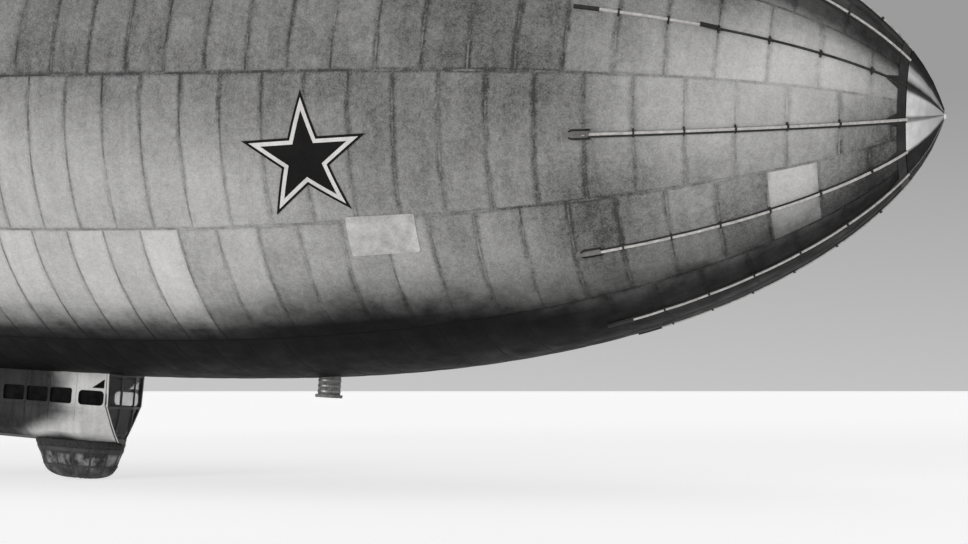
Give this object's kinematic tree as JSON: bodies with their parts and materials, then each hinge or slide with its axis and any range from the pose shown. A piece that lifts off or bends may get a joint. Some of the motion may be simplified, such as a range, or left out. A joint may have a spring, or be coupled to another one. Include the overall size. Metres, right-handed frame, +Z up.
{
  "type": "airship, 1:2 scale model",
  "caption": "Pressure airship at half size: rounded gas envelope with nose battens, cruciform tail, closed cabin with bumper under the belly, two radial engines on outriggers.",
  "frame": {"origin": "centre of buoyancy, on the envelope's axis, where the air holds the airship up", "axes": "+X to the nose along the envelope's axis, +Y to the airship's left, +Z up"},
  "size_m": [25.0703, 6.3, 7.372],
  "materials": {
    "envelope_fabric": "doped rubberised cotton, weathered",
    "tail_fabric": "doped cotton on a frame",
    "batten_wood": "fabric-wrapped laths",
    "sheet_metal": "dull sheet",
    "dark_steel": "oiled",
    "cabin_paint": "silver-grey paint, weathered",
    "bumper_rubber": "rubberised canvas",
    "window_glass": "clear, dusty",
    "propeller_wood": "varnished laminations",
    "floor_wood": "bare plywood",
    "seat_leather": "worn",
    "engine_iron": "black enamel and oil"
  },
  "bodies": {
    "hull": {"envelope": "envelope_fabric", "nose_cap": "sheet_metal", "nose_spindle": "dark_steel", "nose_battens": "batten_wood", "tail_cap": "sheet_metal", "fin_top": "tail_fabric", "fin_left": "tail_fabric", "fin_bottom": "tail_fabric", "fin_right": "tail_fabric", "windscreen_frame": "cabin_paint", "cabin_wall_right": "cabin_paint", "cabin_wall_left": "cabin_paint", "cabin_tub": "cabin_paint", "cabin_tail": "cabin_paint", "cabin_roof": "cabin_paint", "cabin_floor": "floor_wood", "glass_right": "window_glass", "glass_left": "window_glass", "glass_windscreen": "window_glass", "instrument_board": "engine_iron", "seat_right": "seat_leather", "seat_left": "seat_leather", "bumper": "bumper_rubber", "outrigger_right": "dark_steel", "outrigger_left": "dark_steel", "nacelle_right": "cabin_paint", "nacelle_left": "cabin_paint", "engine_right": "engine_iron", "engine_left": "engine_iron", "filling_neck": "envelope_fabric", "gas_valve_top": "sheet_metal", "gas_valve_belly": "sheet_metal"},
    "door": {"cabin_door": "cabin_paint", "glass_door": "window_glass"},
    "rudder_top": {"rudder_top": "tail_fabric"},
    "rudder_bottom": {"rudder_bottom": "tail_fabric"},
    "elevator_left": {"elevator_left": "tail_fabric"},
    "elevator_right": {"elevator_right": "tail_fabric"},
    "propeller_right": {"propeller_right": "propeller_wood"},
    "propeller_left": {"propeller_left": "propeller_wood"}
  },
  "joints": [
    {"name": "door_swing", "type": "hinge", "parent": "hull", "child": "door", "pos_m": [0.856, -0.362, -3.315], "axis": [0, 0, 1], "range_deg": [0, 100]},
    {"name": "rudder_top_turn", "type": "hinge", "parent": "hull", "child": "rudder_top", "pos_m": [-11.06, 0, 2.36], "axis": [0, 0, 1], "range_deg": [-25, 25]},
    {"name": "rudder_bottom_turn", "type": "hinge", "parent": "hull", "child": "rudder_bottom", "pos_m": [-11.06, 0, -2.36], "axis": [0, 0, 1], "range_deg": [-25, 25]},
    {"name": "elevator_left_turn", "type": "hinge", "parent": "hull", "child": "elevator_left", "pos_m": [-11.06, 2.36, 0], "axis": [0, 1, 0], "range_deg": [-25, 25]},
    {"name": "elevator_right_turn", "type": "hinge", "parent": "hull", "child": "elevator_right", "pos_m": [-11.06, -2.36, 0], "axis": [0, 1, 0], "range_deg": [-25, 25]},
    {"name": "propeller_right_spin", "type": "hinge", "parent": "hull", "child": "propeller_right", "pos_m": [0.1, -1.55, -3.45], "axis": [1, 0, 0], "continuous": true},
    {"name": "propeller_left_spin", "type": "hinge", "parent": "hull", "child": "propeller_left", "pos_m": [0.1, 1.55, -3.45], "axis": [1, 0, 0], "continuous": true}
  ],
  "couplings": [
    {"joint": "rudder_bottom_turn", "follows": "rudder_top_turn", "ratio": 1},
    {"joint": "elevator_right_turn", "follows": "elevator_left_turn", "ratio": 1}
  ]
}
